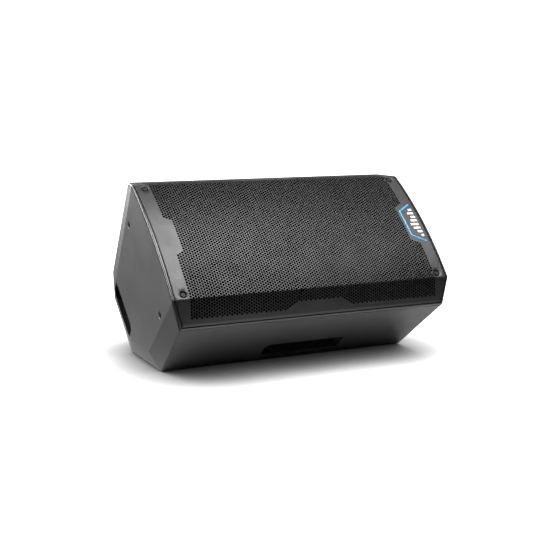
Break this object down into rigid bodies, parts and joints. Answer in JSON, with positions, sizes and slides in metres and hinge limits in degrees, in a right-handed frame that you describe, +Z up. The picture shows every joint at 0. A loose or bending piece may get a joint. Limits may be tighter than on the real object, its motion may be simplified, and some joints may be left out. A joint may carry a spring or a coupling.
{
  "type": "stage monitor wedge",
  "caption": "Active two-way stage monitor in a moulded trapezoid cabinet lying on its side as a floor wedge, with a bevelled perforated grille, handles and a rear amplifier panel.",
  "frame": {"origin": "centre of the cabinet's plan outline at floor level, under the rubber feet", "axes": "+X along the cabinet towards its base end, +Y towards the back, +Z up"},
  "size_m": [0.626, 0.4316, 0.3674],
  "materials": {
    "shell_plastic": "fine-textured injection-moulded polypropylene, charcoal",
    "grille_steel": "satin powder-coated perforated steel, charcoal",
    "accent_blue": "sky-blue enamel line",
    "mark_white": "white screen-printed enamel",
    "black_foam": "open-cell acoustic foam",
    "gasket_foam": "closed-cell foam cord",
    "black_steel": "black oxide steel",
    "zinc_steel": "bright zinc-plated steel",
    "ferrite": "sintered ferrite",
    "copper_coil": "copper winding on a polyimide former",
    "paper_cone": "coated paper pulp",
    "doped_cloth": "doped cloth roll",
    "spider_cloth": "phenolic-treated cotton",
    "titanium": "drawn titanium foil",
    "moulded_black": "black moulded plastic",
    "insert_brass": "nickel-plated brass, dulled",
    "rubber": "moulded rubber",
    "wadding": "polyester wadding",
    "panel_paint": "textured black powder coat",
    "sink_aluminium": "black anodised aluminium",
    "pcb": "green solder resist",
    "capacitor_sleeve": "shrink sleeve",
    "transformer_tape": "yellow polyester tape over ferrite",
    "display_glass": "smoked acrylic",
    "latch_red": "red moulded plastic",
    "button_grey": "grey moulded plastic",
    "rocker_red": "red translucent moulded plastic",
    "cable_pvc": "twin PVC-sheathed cable"
  },
  "bodies": {
    "cabinet": {"rear_shell": "shell_plastic", "front_baffle": "shell_plastic", "shell_gasket": "gasket_foam", "grille": "grille_steel", "grille_foam": "black_foam", "grille_screws": "black_steel", "accent_strip": "accent_blue", "badge_mark": "mark_white", "baffle_screws": "zinc_steel", "woofer_basket": "black_steel", "woofer_gasket": "gasket_foam", "woofer_surround": "doped_cloth", "woofer_spider": "spider_cloth", "woofer_top_plate": "zinc_steel", "woofer_magnet": "ferrite", "woofer_yoke": "zinc_steel", "woofer_terminals": "insert_brass", "woofer_screws": "black_steel", "horn_waveguide": "moulded_black", "horn_screws": "black_steel", "driver_yoke": "zinc_steel", "driver_magnet": "ferrite", "driver_top_plate": "zinc_steel", "driver_rear_cover": "moulded_black", "port_tubes": "moulded_black", "end_handle_cup": "moulded_black", "side_handle_cups": "moulded_black", "suspension_inserts": "insert_brass", "pole_socket": "moulded_black", "pole_socket_screws": "zinc_steel", "base_feet": "rubber", "wedge_feet": "rubber", "acoustic_lining": "wadding", "amp_gasket": "gasket_foam", "amp_panel": "panel_paint", "amp_panel_screws": "black_steel", "heatsink": "sink_aluminium", "amp_board": "pcb", "amp_capacitors": "capacitor_sleeve", "power_transformer": "transformer_tape", "board_spacers": "zinc_steel", "display_window": "display_glass", "input_jacks": "moulded_black", "link_jack": "moulded_black", "gain_pots": "zinc_steel", "encoder_housing": "zinc_steel", "mains_inlet": "moulded_black", "speaker_cables": "cable_pvc"},
    "woofer_piston": {"woofer_cone": "paper_cone", "woofer_dust_cap": "paper_cone", "woofer_voice_coil": "copper_coil"},
    "hf_piston": {"hf_diaphragm": "titanium"},
    "gain_1": {"gain_knob_1": "moulded_black"},
    "gain_2": {"gain_knob_2": "moulded_black"},
    "encoder_push": {"encoder_plunger": "moulded_black"},
    "encoder_dial": {"encoder_knob": "moulded_black"},
    "menu_key": {"menu_button": "button_grey"},
    "latch_1": {"latch_tab_1": "latch_red"},
    "latch_2": {"latch_tab_2": "latch_red"},
    "mains_rocker": {"power_rocker": "rocker_red"}
  },
  "joints": [
    {"name": "woofer_travel", "type": "slide", "parent": "cabinet", "child": "woofer_piston", "axis": [0, -0.7071, 0.7071], "range_m": [-0.005, 0.005], "stiffness_N_per_m": 2500, "deforming": ["woofer_surround", "woofer_spider"]},
    {"name": "hf_travel", "type": "slide", "parent": "cabinet", "child": "hf_piston", "axis": [0, -0.7071, 0.7071], "range_m": [-0.00015, 0.00015]},
    {"name": "gain_1_turn", "type": "hinge", "parent": "cabinet", "child": "gain_1", "pos_m": [0.002, 0.18508, 0.07044], "axis": [0, 0.7071, -0.7071], "range_deg": [-150, 150]},
    {"name": "gain_2_turn", "type": "hinge", "parent": "cabinet", "child": "gain_2", "pos_m": [0.002, 0.1469, 0.03226], "axis": [0, 0.7071, -0.7071], "range_deg": [-150, 150]},
    {"name": "encoder_press", "type": "slide", "parent": "cabinet", "child": "encoder_push", "axis": [0, -0.7071, 0.7071], "range_m": [0, 0.0005]},
    {"name": "encoder_turn", "type": "hinge", "parent": "encoder_push", "child": "encoder_dial", "pos_m": [-0.086, 0.18155, 0.06691], "axis": [0, 0.7071, -0.7071], "continuous": true},
    {"name": "menu_press", "type": "slide", "parent": "cabinet", "child": "menu_key", "axis": [0, -0.7071, 0.7071], "range_m": [0, 0.0015]},
    {"name": "latch_1_press", "type": "slide", "parent": "cabinet", "child": "latch_1", "axis": [0, -0.7071, 0.7071], "range_m": [0, 0.0015]},
    {"name": "latch_2_press", "type": "slide", "parent": "cabinet", "child": "latch_2", "axis": [0, -0.7071, 0.7071], "range_m": [0, 0.0015]},
    {"name": "rocker_tilt", "type": "hinge", "parent": "cabinet", "child": "mains_rocker", "pos_m": [0.202, 0.14902, 0.03155], "axis": [1, 0, 0], "range_deg": [-8, 8]}
  ]
}
